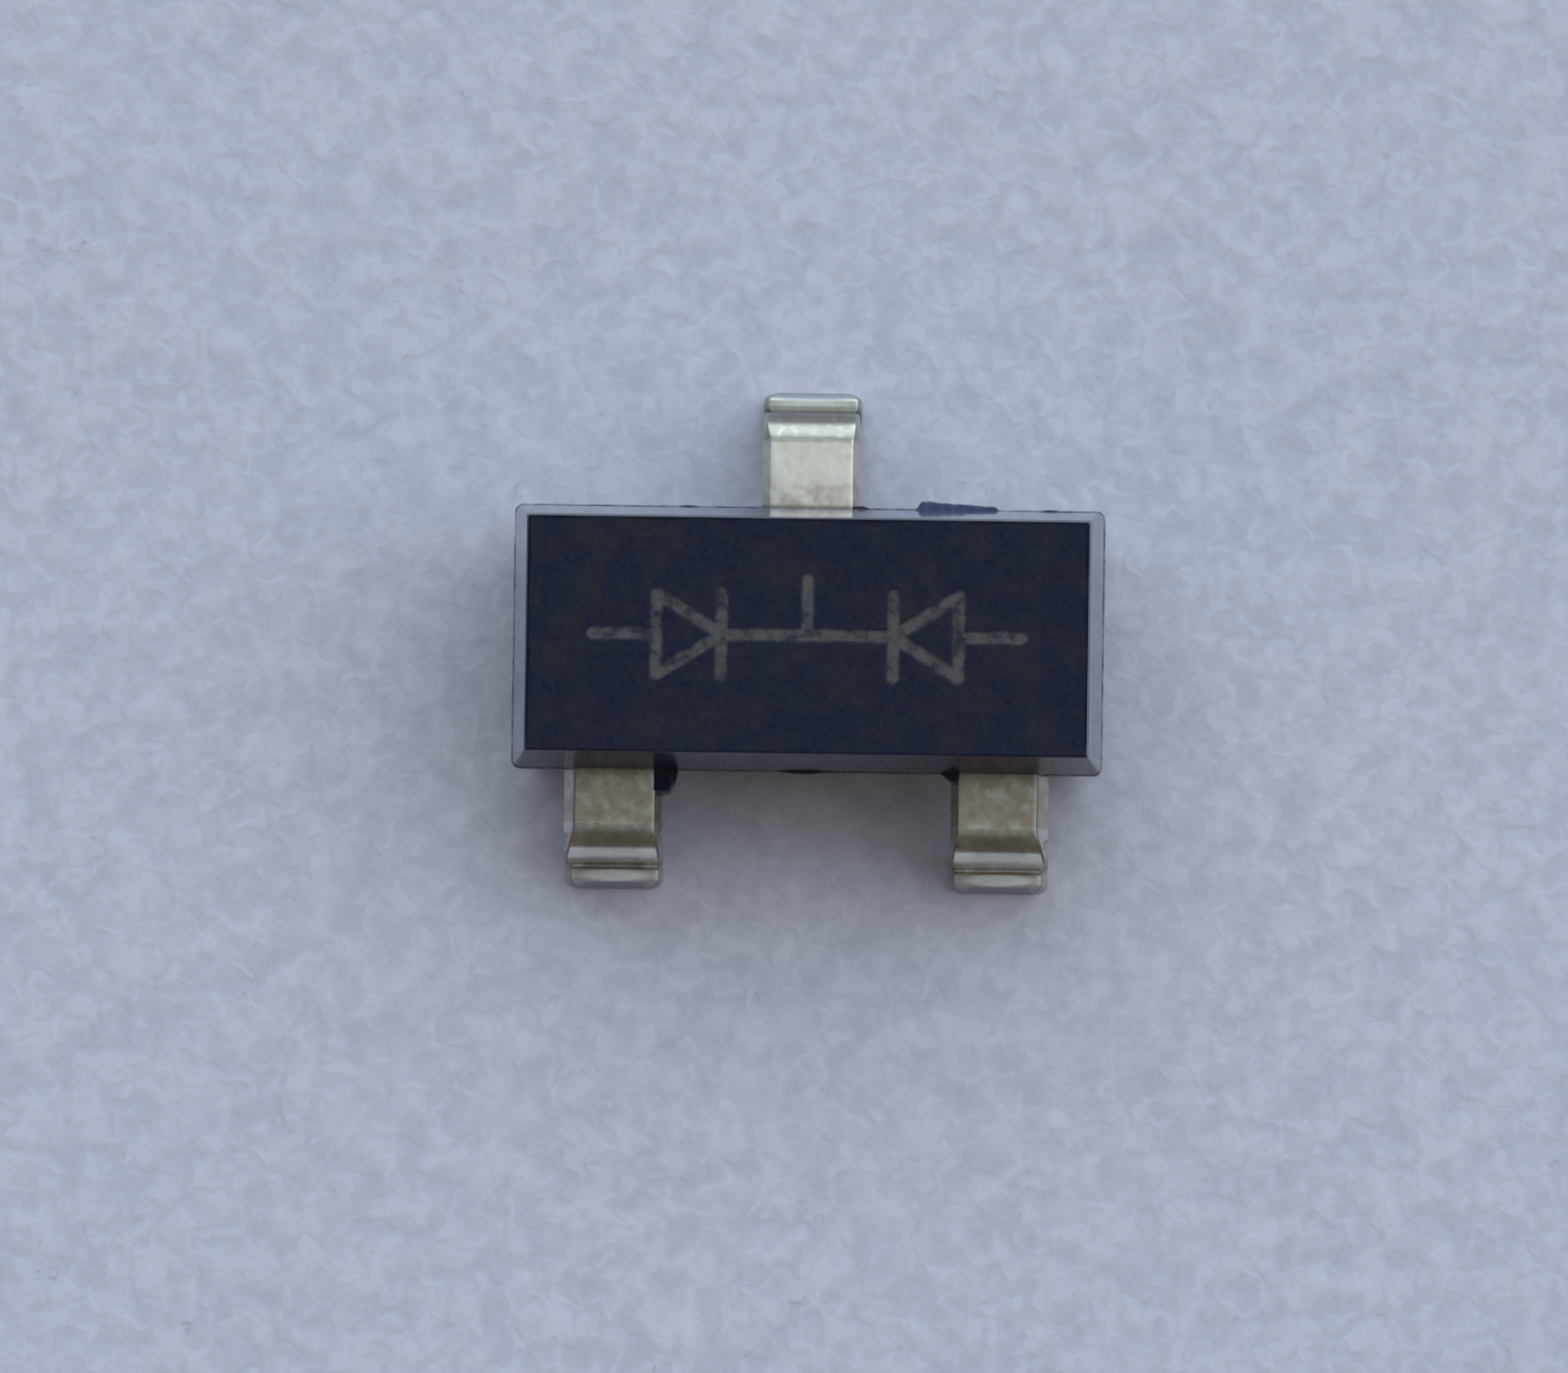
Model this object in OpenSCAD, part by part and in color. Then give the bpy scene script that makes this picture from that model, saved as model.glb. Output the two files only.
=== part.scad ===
// Three-lead surface-mount diode: two chips with a common cathode in a moulded small-outline body.
// Millimetres. X runs along the body, +Y points to the single cathode lead, Z is up from the solder plane.
// The resin is moulded round a stamped lead frame; the leads are then bent into gull wings.

/* [Moulded body] */
// Length of the body over its parting band
body_length = 2.9; // [2.6:0.05:3.2]
// Width of the body over its parting band
body_width = 1.3; // [1.2:0.05:1.5]
// Height of the flat top above the solder plane
body_top = 1.0; // [0.95:0.01:1.1]
// Gap between the underside and the solder plane
standoff = 0.05; // [0.02:0.01:0.1]
// Lean of the mould walls from vertical, in degrees
wall_draft = 9; // [4:0.5:12]
// Step from the parting band in to the foot of the drafted walls
ledge = 0.01; // [0.01:0.005:0.03]
// Radius of the four corners of the parting band
corner_radius = 0.03; // [0.02:0.005:0.08]
// Radius along the edges of the top and of the underside
edge_radius = 0.015; // [0.01:0.005:0.05]
// How far the body sits off the middle of the lead tips, towards the anode leads
body_shift = 0.02; // [0:0.005:0.03]

/* [Mould witness marks] */
// Distance of the gate stub's middle from the cathode lead's middle
gate_offset = 0.73; // [0.6:0.01:0.9]
// Width of the gate stub along the body
gate_width = 0.4; // [0.25:0.01:0.5]
// How far the broken gate stub stands out of the parting band
gate_stub = 0.05; // [0.02:0.01:0.08]
// Thickness of the gate stub
gate_thickness = 0.07; // [0.04:0.01:0.1]
// Width of the resin flash left beside the left anode lead
flash_width = 0.08; // [0.04:0.01:0.15]
// How far the flash runs out along the lead
flash_reach = 0.13; // [0.05:0.005:0.18]
// How much shorter the flash is on the side away from the lead
flash_slant = 0.03; // [0:0.005:0.05]
// Width of the small corner of flash beside the right anode lead
corner_flash_width = 0.05; // [0.02:0.005:0.1]
// How far that corner runs out along the lead
corner_flash_reach = 0.055; // [0.02:0.005:0.1]

/* [Gull-wing leads] */
// Overall span between the lead tips
lead_span = 2.46; // [2.35:0.01:2.6]
// Width of each lead
lead_width = 0.46; // [0.36:0.01:0.5]
// Thickness of the frame metal
lead_thickness = 0.11; // [0.08:0.01:0.15]
// Distance from the body's middle to each anode lead's middle
lead_pitch = 0.95; // [0.85:0.01:1.05]
// Height of the lead's underside above the solder plane where it leaves the body
lead_rise = 0.49; // [0.44:0.01:0.54]
// Inside radius of both bends
bend_radius = 0.035; // [0.02:0.005:0.06]
// Lean of the riser from horizontal, in degrees
riser_angle = 88; // [75:1:89]
// Length of the flat foot from its bend to its tip
foot_length = 0.08; // [0.06:0.01:0.15]
// Radius of the two corners of a foot's tip
foot_corner = 0.04; // [0.02:0.005:0.05]

/* [Lead frame inside the body] */
// Distance from the body's side to the near edge of the chip paddle
paddle_inset = 0.25; // [0.2:0.01:0.3]
// Bare metal left round the chips on the paddle
paddle_margin = 0.1; // [0.05:0.01:0.14]
// Slot between the paddle and the two bonding posts
frame_gap = 0.12; // [0.08:0.01:0.15]
// Length of a bonding post across the body
post_length = 0.2; // [0.12:0.01:0.22]
// How far a bonding post reaches inwards past the edge of its lead
post_reach = 0.2; // [0.1:0.01:0.3]

/* [Chips and bond wires] */
// Side of each square chip
chip_size = 0.3; // [0.22:0.01:0.34]
// Thickness of each chip
chip_thickness = 0.1; // [0.07:0.01:0.13]
// Gap between the two chips
chip_gap = 0.1; // [0.05:0.01:0.2]
// Side of the metal contact on top of a chip
contact_size = 0.2; // [0.1:0.01:0.2]
// Thickness of that contact
contact_thickness = 0.01; // [0.005:0.005:0.02]
// Thickness of the solder under a chip
solder_thickness = 0.02; // [0.01:0.005:0.03]
// How far the solder spreads past the chip
solder_margin = 0.02; // [0.01:0.005:0.04]
// Diameter of the bond wire
wire_diameter = 0.03; // [0.02:0.005:0.05]
// Diameter of the ball bond on the chip
ball_diameter = 0.08; // [0.06:0.005:0.1]
// Height of the squashed ball
ball_height = 0.025; // [0.015:0.005:0.03]
// Straight rise of the wire above its ball
loop_rise = 0.03; // [0.02:0.005:0.06]
// Radius of the wire's loop at its middle line
loop_radius = 0.05; // [0.04:0.005:0.06]
// Diameter of the flattened stitch on the post
stitch_diameter = 0.09; // [0.06:0.005:0.12]
// Height of that stitch
stitch_height = 0.012; // [0.01:0.002:0.02]

/* [Hidden] */
$fn = 64;
// Steps along each rounded edge of the mould halves
edge_steps = 6;
LEFT = -1;
RIGHT = 1;

// Heights, from the solder plane upwards
lead_top = lead_rise + lead_thickness;
chip_seat = lead_top + solder_thickness;
chip_face = chip_seat + chip_thickness;
contact_face = chip_face + contact_thickness;

// Gull wing, as a strip that follows its middle line
outer_bend = bend_radius + lead_thickness;
middle_bend = bend_radius + lead_thickness / 2;
riser_length = (lead_rise - 2 * middle_bend * (1 - cos(riser_angle))) / sin(riser_angle);
bends_run = 2 * middle_bend * sin(riser_angle) + riser_length * cos(riser_angle);
tip = lead_span / 2;
foot_start = tip - foot_length;
shoulder_end = foot_start - bends_run;

// Plan of the lead frame inside the resin
body_side = body_width / 2;
cathode_side = body_side - body_shift;
anode_side = body_side + body_shift;
paddle_width = 2 * chip_size + chip_gap + 2 * paddle_margin;
paddle_far = cathode_side - paddle_inset;
paddle_near = paddle_far - chip_size - 2 * paddle_margin;
post_far = paddle_near - frame_gap;
post_near = post_far - post_length;
post_end = lead_pitch - lead_width / 2 - post_reach;
chip_x = (chip_size + chip_gap) / 2;
chip_y = (paddle_far + paddle_near) / 2;
stitch_x = post_end + post_reach / 2;
stitch_y = (post_far + post_near) / 2;

// Bond wire in its own upright plane: up from the ball, round the loop, straight down to the stitch
wire_turn = atan2(stitch_y - chip_y, stitch_x - chip_x);
wire_span = norm([stitch_x - chip_x, stitch_y - chip_y]);
loop_start = contact_face + ball_height + loop_rise;
past_loop = wire_span - loop_radius;
loop_drop = loop_start - lead_top;
exact_slope = atan2(loop_drop, past_loop) + asin(loop_radius / norm([past_loop, loop_drop]));
wire_slope = round(100 * exact_slope) / 100;
wire_run = (past_loop - loop_radius * sin(wire_slope)) / cos(wire_slope);

// What a fillet takes off a 2D corner between two unit directions, or adds to it, run on past the corner
module fillet_piece(corner, along_a, along_b, radius) {
    half_angle = acos(along_a * along_b) / 2;
    setback = radius / tan(half_angle);
    inwards = (along_a + along_b) / norm(along_a + along_b);
    centre = corner + inwards * radius / sin(half_angle);
    difference() {
        polygon([corner - inwards * radius, corner + along_a * setback, centre, corner + along_b * setback]);
        translate(centre) circle(radius);
    }
}

// Points along an arc
function arc(centre, radius, from, to) =
    [for (step = [0 : edge_steps]) let (angle = from + (to - from) * step / edge_steps)
        centre + radius * [cos(angle), sin(angle)]];

// Section of one mould half: wide at the parting band, drawn in by the draft, rounded along its far edges
module draft_section(half_width, height) {
    drawn_in = half_width - height * tan(wall_draft);
    round_x = drawn_in - edge_radius / tan(45 + wall_draft / 2);
    round_y = height - edge_radius;
    polygon(concat([[-half_width, 0], [half_width, 0]],
                   arc([round_x, round_y], edge_radius, wall_draft, 90),
                   arc([-round_x, round_y], edge_radius, 90, 180 - wall_draft)));
}

// One mould half, standing on the parting band and narrowing upwards
module mould_half(height) {
    half_length = body_length / 2 - ledge;
    half_width = body_width / 2 - ledge;
    intersection() {
        rotate([90, 0, 0]) linear_extrude(body_width, center = true) draft_section(half_length, height);
        rotate([90, 0, 90]) linear_extrude(body_length, center = true) draft_section(half_width, height);
    }
}

// Plain band as thick as the lead frame, which holds the mould halves apart
module parting_band() {
    translate([0, 0, lead_rise]) linear_extrude(lead_thickness) difference() {
        square([body_length, body_width], center = true);
        for (x = [LEFT, RIGHT], y = [LEFT, RIGHT])
            fillet_piece([x * body_length / 2, y * body_width / 2], [-x, 0], [0, -y], corner_radius);
    }
}

// Stub of resin where the runner was broken off, on the cathode side
module gate_mark() {
    root = gate_width / 2;
    broken = root - gate_stub;
    translate([gate_offset, body_side - ledge, lead_top - gate_thickness])
        linear_extrude(gate_thickness)
            polygon([[-root, 0], [root, 0], [broken, ledge + gate_stub], [-broken, ledge + gate_stub]]);
}

// Sliver of resin that ran out along the inner edge of the left anode lead
module flash_mark() {
    translate([lead_width / 2 - lead_pitch, -body_side + ledge, lead_rise])
        linear_extrude(lead_thickness)
            polygon([[0, 0], [flash_width, 0], [flash_width, -ledge - flash_reach + flash_slant],
                     [0, -ledge - flash_reach]]);
}

// Small three-cornered flash between the body and the inner edge of the right anode lead
module corner_flash_mark() {
    translate([lead_pitch - lead_width / 2, -body_side + ledge, lead_rise])
        linear_extrude(lead_thickness)
            polygon([[0, 0], [0, -ledge - corner_flash_reach], [-corner_flash_width, -ledge],
                     [-corner_flash_width, 0]]);
}

// Side view of a gull wing from inside the body's side to the tip, outwards along X and up along Y
module gull_wing_profile() {
    inwards = [-1, 0];
    outwards = [1, 0];
    down_riser = [cos(riser_angle), -sin(riser_angle)];
    turn = tan(riser_angle / 2);
    root = body_side - lead_thickness;
    shoulder_top = [shoulder_end + outer_bend * turn, lead_top];
    shoulder_under = [shoulder_end + bend_radius * turn, lead_rise];
    foot_top = [foot_start - bend_radius * turn, lead_thickness];
    heel = [foot_start - outer_bend * turn, 0];
    difference() {
        union() {
            polygon([[root, lead_rise], [root, lead_top], shoulder_top, foot_top, [tip, lead_thickness],
                     [tip, 0], heel, shoulder_under]);
            fillet_piece(shoulder_under, inwards, down_riser, bend_radius);
            fillet_piece(foot_top, outwards, -down_riser, bend_radius);
        }
        fillet_piece(shoulder_top, inwards, down_riser, outer_bend);
        fillet_piece(heel, outwards, -down_riser, outer_bend);
    }
}

// Lead outside the body, running out along +Y from the body's side, with the corners of its tip rounded
module gull_wing() {
    difference() {
        rotate([90, 0, 90]) linear_extrude(lead_width, center = true) gull_wing_profile();
        for (x = [LEFT, RIGHT])
            translate([0, 0, -lead_thickness / 2]) linear_extrude(2 * lead_thickness)
                fillet_piece([x * lead_width / 2, tip], [-x, 0], [0, -1], foot_corner);
    }
}

// Cathode lead with the paddle that carries both chips
module cathode_lead() {
    color([0.75, 0.75, 0.70]) union() {
        gull_wing();
        translate([0, 0, lead_rise]) linear_extrude(lead_thickness)
            polygon([[lead_width / 2, cathode_side], [-lead_width / 2, cathode_side],
                     [-lead_width / 2, paddle_far], [-paddle_width / 2, paddle_far],
                     [-paddle_width / 2, paddle_near], [paddle_width / 2, paddle_near],
                     [paddle_width / 2, paddle_far], [lead_width / 2, paddle_far]]);
    }
}

// Anode lead with the L-shaped post that takes its bond wire
module anode_lead(side) {
    outer = side * (lead_pitch + lead_width / 2);
    inner = side * (lead_pitch - lead_width / 2);
    color([0.75, 0.75, 0.70]) union() {
        translate([side * lead_pitch, 0, 0]) rotate(180) gull_wing();
        translate([0, 0, lead_rise]) linear_extrude(lead_thickness)
            polygon([[outer, -anode_side], [inner, -anode_side], [inner, post_near],
                     [side * post_end, post_near], [side * post_end, post_far], [outer, post_far]]);
    }
}

// Silicon chip with its raised metal contact
module chip(side) {
    color([0.35, 0.36, 0.42]) translate([side * chip_x, chip_y, chip_seat]) union() {
        translate([0, 0, chip_thickness / 2]) cube([chip_size, chip_size, chip_thickness], center = true);
        translate([0, 0, chip_thickness + contact_thickness / 2])
            cube([contact_size, contact_size, contact_thickness], center = true);
    }
}

// Film of solder that holds a chip down on the paddle
module chip_solder(side) {
    film = chip_size + 2 * solder_margin;
    color([0.62, 0.63, 0.66]) translate([side * chip_x, chip_y, lead_top + solder_thickness / 2])
        cube([film, film, solder_thickness], center = true);
}

// Round wire in its upright plane, outwards along X and up along Z, with the ball at the origin
module wire_path() {
    radius = wire_diameter / 2;
    start = contact_face + ball_height / 2;
    translate([0, 0, start]) cylinder(r = radius, h = loop_start - start);
    translate([loop_radius, 0, loop_start]) rotate([90, 0, 0]) rotate(90 - wire_slope) {
        rotate_extrude(angle = 90 + wire_slope) translate([loop_radius, 0]) circle(radius);
        translate([loop_radius, 0, 0]) rotate([90, 0, 0]) cylinder(r = radius, h = wire_run + wire_diameter);
    }
}

// Bond wire from the contact of one chip to the post beside it
module bond_wire(side) {
    room = 2 * body_length;
    color([0.85, 0.66, 0.33]) mirror([side == LEFT ? 1 : 0, 0, 0])
        translate([chip_x, chip_y, 0]) rotate(wire_turn) union() {
            intersection() {
                wire_path();
                translate([-room / 2, -room / 2, lead_top]) cube(room);
            }
            translate([0, 0, contact_face]) cylinder(d = ball_diameter, h = ball_height);
            translate([wire_span, 0, lead_top]) cylinder(d = stitch_diameter, h = stitch_height);
        }
}

// Everything that the resin is moulded round
module moulded_in() {
    cathode_lead();
    for (side = [LEFT, RIGHT]) {
        anode_lead(side);
        chip(side);
        chip_solder(side);
        bond_wire(side);
    }
}

// Black resin body, one moulding with the marks that its mould left
module moulded_body() {
    color([0.08, 0.09, 0.12]) difference() {
        translate([0, -body_shift, 0]) union() {
            parting_band();
            translate([0, 0, lead_top]) mould_half(body_top - lead_top);
            translate([0, 0, lead_rise]) mirror([0, 0, 1]) mould_half(lead_rise - standoff);
            gate_mark();
            flash_mark();
            corner_flash_mark();
        }
        moulded_in();
    }
}

moulded_body();
cathode_lead();
anode_lead(LEFT);  // left_anode_lead
anode_lead(RIGHT);  // right_anode_lead
chip(LEFT);  // left_chip
chip(RIGHT);  // right_chip
chip_solder(LEFT);  // left_chip_solder
chip_solder(RIGHT);  // right_chip_solder
bond_wire(LEFT);  // left_bond_wire
bond_wire(RIGHT);  // right_bond_wire
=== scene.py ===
"""Moulded three-lead surface-mount diode: its looks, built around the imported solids.

Runs as a script in Blender 4.5. Every length is in metres and in the frame of the solids:
+X along the body, +Y towards the single cathode lead, +Z up from the solder plane.
"""

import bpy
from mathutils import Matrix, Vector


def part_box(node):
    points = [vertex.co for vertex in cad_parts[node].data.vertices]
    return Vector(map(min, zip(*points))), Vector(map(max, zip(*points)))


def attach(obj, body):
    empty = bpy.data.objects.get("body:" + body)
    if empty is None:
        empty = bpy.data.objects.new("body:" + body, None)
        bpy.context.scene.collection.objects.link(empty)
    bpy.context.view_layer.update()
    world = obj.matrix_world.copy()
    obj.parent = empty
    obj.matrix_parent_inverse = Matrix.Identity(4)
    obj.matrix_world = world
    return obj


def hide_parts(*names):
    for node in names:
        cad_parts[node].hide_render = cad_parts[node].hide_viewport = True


bl_info = {
    "name": "Moulded Three-Lead Diode",
    "version": (1, 0, 0),
    "blender": (4, 5, 0),
    "location": "View3D > Sidebar > Diode",
    "description": "Builds the resin body, tinned leads, inner pieces and studio of a small diode",
    "category": "Add Mesh",
}

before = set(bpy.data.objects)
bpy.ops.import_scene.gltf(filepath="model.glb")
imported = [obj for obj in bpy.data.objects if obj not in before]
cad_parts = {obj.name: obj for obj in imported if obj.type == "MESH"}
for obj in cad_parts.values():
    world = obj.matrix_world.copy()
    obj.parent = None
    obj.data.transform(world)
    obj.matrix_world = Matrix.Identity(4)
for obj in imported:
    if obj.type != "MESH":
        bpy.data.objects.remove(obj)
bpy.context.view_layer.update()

import math
from typing import NamedTuple

import bpy
from bpy.props import FloatProperty, FloatVectorProperty, PointerProperty
from mathutils import Matrix, Vector, noise

MM = 0.001
MICRON = 0.000001
RIGHT_ANGLE = math.radians(90)
SHARP_ANGLE = math.radians(38)

BODY_LOW, BODY_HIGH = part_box("moulded_body")
CATHODE_LOW, CATHODE_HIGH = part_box("cathode_lead")
LEFT_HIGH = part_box("left_anode_lead")[1]


# Sizes and colours that a user may change


def size_prop(name, description, default):
    """A length that a user may change."""
    return FloatProperty(
        name=name, description=description, default=default, min=0.0, precision=6, unit="LENGTH"
    )


def angle_prop(name, description, degrees):
    """An angle that a user may change."""
    return FloatProperty(
        name=name, description=description, default=math.radians(degrees), subtype="ANGLE"
    )


def colour_prop(name, description, default):
    """A finish colour that a user may change."""
    return FloatVectorProperty(
        name=name, description=description, default=default, min=0.0, max=1.0, subtype="COLOR"
    )


class BodySizes(bpy.types.PropertyGroup):
    """Sizes of the resin moulding"""

    length: size_prop("Length", "Length of the parting band along X", BODY_HIGH.x - BODY_LOW.x)
    width: size_prop("Width", "Width of the parting band along Y", 1.3 * MM)
    top: size_prop("Top", "Height of the flat top above the solder plane", BODY_HIGH.z)
    underside: size_prop("Underside", "Height of the underside above the solder plane", BODY_LOW.z)
    draft: angle_prop("Draft", "Lean of the walls away from upright", 9.6)
    ledge: size_prop("Ledge", "Step from the parting band in to each wall", 0.003 * MM)
    corner_radius: size_prop("Corner radius", "Round of the upright corners at the band", 0.042 * MM)
    edge_radius: size_prop("Edge radius", "Round of the edges of the top and underside", 0.010 * MM)
    gate_reach: size_prop("Gate stub", "How far the broken gate stands out of the band", 0.042 * MM)
    flash_reach: size_prop("Flash", "How far the sliver beside the left lead stands out", 0.13 * MM)
    corner_flash: size_prop("Corner flash", "How far the flash beside the right lead stands out", 0.055 * MM)
    shift: size_prop("Shift", "How far the body sits off the middle, towards the anode leads", 0.02 * MM)
    mark_stroke: size_prop("Mark stroke", "Width of the lines of the etched mark", 0.055 * MM)
    mark_depth: size_prop("Mark depth", "Depth of the etched mark", 2.0 * MICRON)


class LeadSizes(bpy.types.PropertyGroup):
    """Sizes of the tinned gull-wing leads"""

    tip: size_prop("Tip", "Distance of the foot's tip from the middle of the body", CATHODE_HIGH.y)
    upper_face: size_prop("Upper face", "Height of the shoulder's upper face", CATHODE_HIGH.z)
    width: size_prop("Width", "Width of the strip outside the body", 0.48 * MM)
    thickness: size_prop("Thickness", "Thickness of the strip", 0.11 * MM)
    pitch: size_prop("Pitch", "Distance of the anode leads from the middle of the body", 0.95 * MM)
    bend_radius: size_prop("Bend radius", "Inner radius of both bends", 0.035 * MM)
    riser_angle: angle_prop("Riser angle", "Lean of the riser below level", 88)
    foot: size_prop("Foot", "Flat length of the foot", 0.08 * MM)
    die_roll: size_prop("Die roll", "Round of the upper edges left by the blanking die", 0.012 * MM)
    burr_round: size_prop("Lower round", "Round of the lower edges", 0.01 * MM)
    foot_corner: size_prop("Foot corner", "Round of the corners of the foot's tip", 0.04 * MM)
    cut_run: size_prop("Cut", "Length of the slanted cut at the foot's tip", 0.034 * MM)
    burnish: size_prop("Burnish", "How far the forming die rubbed the shoulder before the bend", 0.010 * MM)


class FinishColours(bpy.types.PropertyGroup):
    """Colours of the finishes"""

    resin: colour_prop("Resin", "Black moulding resin", (0.0036, 0.0066, 0.0225))
    filler: colour_prop("Filler", "Grains of filler at the resin's surface", (0.0110, 0.0138, 0.0335))
    bloom: colour_prop("Bloom", "Clouds on the resin", (0.0128, 0.0122, 0.0170))
    haze: colour_prop("Haze", "Greenish haze on the resin", (0.0075, 0.0122, 0.0165))
    # Painted shade: the dark line along the rim of the top, left off along the front edge.
    rim: colour_prop("Rim", "Resin along the rim of the top", (0.0020, 0.0035, 0.0140))
    # Painted reflection: the bluish light that the broken gate's face reflects.
    torn: colour_prop("Torn", "Resin where the gate broke off", (0.0490, 0.0600, 0.1220))
    etched: colour_prop("Etched", "Resin where the mark is burnt in", (0.0720, 0.0700, 0.0660))
    tin: colour_prop("Tin", "Fresh tin plating", (0.71, 0.69, 0.60))
    tarnish: colour_prop("Tarnish", "Dulled tin plating", (0.48, 0.42, 0.33))
    # Painted shade on the leads: dark tin in the corners above the feet, on the bends, at the roots and along
    # the edges.
    stain: colour_prop("Stain", "Stained tin in the corner above a foot", (0.216, 0.222, 0.192))
    # Painted highlight: pale bluish tin for the bright patch on the outer end of a foot.
    frost: colour_prop("Frost", "Tin frosted by the tool at the outer end of a foot", (0.86, 0.92, 0.95))
    sheared: colour_prop("Sheared", "Rough tin where a foot was cut off", (0.34, 0.355, 0.385))
    copper: colour_prop("Copper", "Copper alloy bared where a foot was cut off", (0.66, 0.40, 0.27))
    silicon: colour_prop("Silicon", "Sawn silicon", (0.16, 0.165, 0.20))
    contact: colour_prop("Contact", "Paler lines on the silicon and its contact", (0.30, 0.31, 0.36))
    solder: colour_prop("Solder", "Solder film", (0.55, 0.56, 0.58))
    solder_dull: colour_prop("Solder, duller", "Ripples of the solder film", (0.42, 0.42, 0.43))
    gold: colour_prop("Bond wire", "Drawn bond wire", (0.85, 0.62, 0.26))
    gold_light: colour_prop("Bond wire, lighter", "Die lines of the bond wire", (0.93, 0.72, 0.36))
    paper: colour_prop("Paper", "Pale paper that the diode lies on", (0.420, 0.430, 0.500))
    paper_light: colour_prop("Paper, lighter", "Lighter blotches of the paper", (0.446, 0.453, 0.517))


class StudioSettings(bpy.types.PropertyGroup):
    """Light and camera of the studio"""

    light_bearing: angle_prop("Light bearing", "Bearing of the soft light from +Y towards +X", 24)
    light_low: angle_prop("Light foot", "Height at which the soft light starts", 17)
    light_high: angle_prop("Light head", "Height at which the soft light ends", 73)
    light_level: FloatProperty(
        name="Light level", description="Brightness of the soft light", default=2.97, min=0.0
    )
    light_tint: colour_prop("Light tint", "Tint of the soft light", (0.815, 0.908, 1.0))
    room_back: colour_prop("Room behind", "Dim light of the room behind the diode", (0.37, 0.48, 0.67))
    room_sides: colour_prop("Room to the sides", "Dim light of the room to both sides", (0.57, 0.43, 0.325))
    room_front: colour_prop("Room in front", "Shade of the room straight in front", (0.095, 0.085, 0.072))
    room_above: colour_prop("Room above", "Dim light straight above", (0.095, 0.085, 0.075))
    tilt_front: angle_prop("Tilt to front", "Lean of the view towards the anode leads", 3.0)
    tilt_right: angle_prop("Tilt to right", "Lean of the view towards +X", 0.76)
    turn: angle_prop("Turn", "Turn of the diode in the picture, clockwise", 0.85)


# Shared helpers


def clamped(share):
    """A share kept between 0 and 1."""
    return min(max(share, 0.0), 1.0)


def smoothstep(low, high, value):
    """0 below low, 1 above high and a soft rise between them."""
    share = clamped((value - low) / (high - low))
    return share * share * (3.0 - 2.0 * share)


def waver(x, y, z, wave):
    """Smooth noise on both sides of 0, with the depth and the length of a wave."""
    depth, length = wave
    return depth * noise.noise(Vector((x, y, z)) / length)


def make_piece(name, points, faces, *finishes):
    """A smooth mesh piece with its sharp folds kept."""
    mesh = bpy.data.meshes.new(name)
    mesh.from_pydata(points, [], faces)
    if mesh.validate():
        raise RuntimeError(f"{name}: the mesh has faults")
    mesh.shade_smooth()
    mesh.set_sharp_from_angle(angle=SHARP_ANGLE)
    for finish in finishes:
        mesh.materials.append(finish)
    piece = bpy.data.objects.new(name, mesh)
    bpy.context.scene.collection.objects.link(piece)
    return piece


def ring_faces(points, ring):
    """Faces between equal rings of points that follow each other."""
    faces = []
    for first in range(0, len(points) - ring, ring):
        second = first + ring
        for step in range(ring):
            ahead = (step + 1) % ring
            faces.append((first + step, first + ahead, second + ahead, second + step))
    return faces


def store_values(piece, values):
    """Stores named lists of one number for each point, for the finish to read."""
    for name, numbers in values.items():
        layer = piece.data.attributes.new(name, "FLOAT", "POINT")
        layer.data.foreach_set("value", numbers)


# Finishes

RESIN_INDEX = 1.55


class NodeBoard:
    """A node tree under construction."""

    def __init__(self, owner):
        owner.use_nodes = True
        self.tree = owner.node_tree
        self.tree.nodes.clear()

    def join(self, source, target):
        self.tree.links.new(source, target)

    def give(self, socket, value):
        """Feeds a socket from another socket, or sets it to a plain value."""
        if isinstance(value, bpy.types.NodeSocket):
            self.join(value, socket)
        else:
            socket.default_value = value

    def add(self, kind, inputs=None, **settings):
        """A new node with its settings and with what feeds its inputs."""
        node = self.tree.nodes.new(kind)
        for key, value in settings.items():
            setattr(node, key, value)
        for key, value in (inputs or {}).items():
            self.give(node.inputs[key], value)
        return node

    def remap(self, value, low, high, to_low=0.0, to_high=1.0):
        """Stretches low to high over another range, without leaving it."""
        inputs = {"Value": value, "From Min": low, "From Max": high, "To Min": to_low, "To Max": to_high}
        return self.add("ShaderNodeMapRange", inputs, interpolation_type="SMOOTHSTEP").outputs["Result"]

    def reckon(self, operation, first, second):
        return self.add("ShaderNodeMath", {0: first, 1: second}, operation=operation).outputs["Value"]

    def sum_of(self, first, second):
        return self.reckon("ADD", first, second)

    def product_of(self, first, second):
        return self.reckon("MULTIPLY", first, second)

    def blend(self, share, first, second):
        """A colour between two others."""
        node = self.add("ShaderNodeMix", {"Factor": share}, data_type="RGBA")
        for key, value in (("A", first), ("B", second)):
            socket = next(s for s in node.inputs if s.name == key and s.type == "RGBA")
            self.give(socket, value if isinstance(value, bpy.types.NodeSocket) else (*value, 1.0))
        return next(s for s in node.outputs if s.type == "RGBA")


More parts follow.
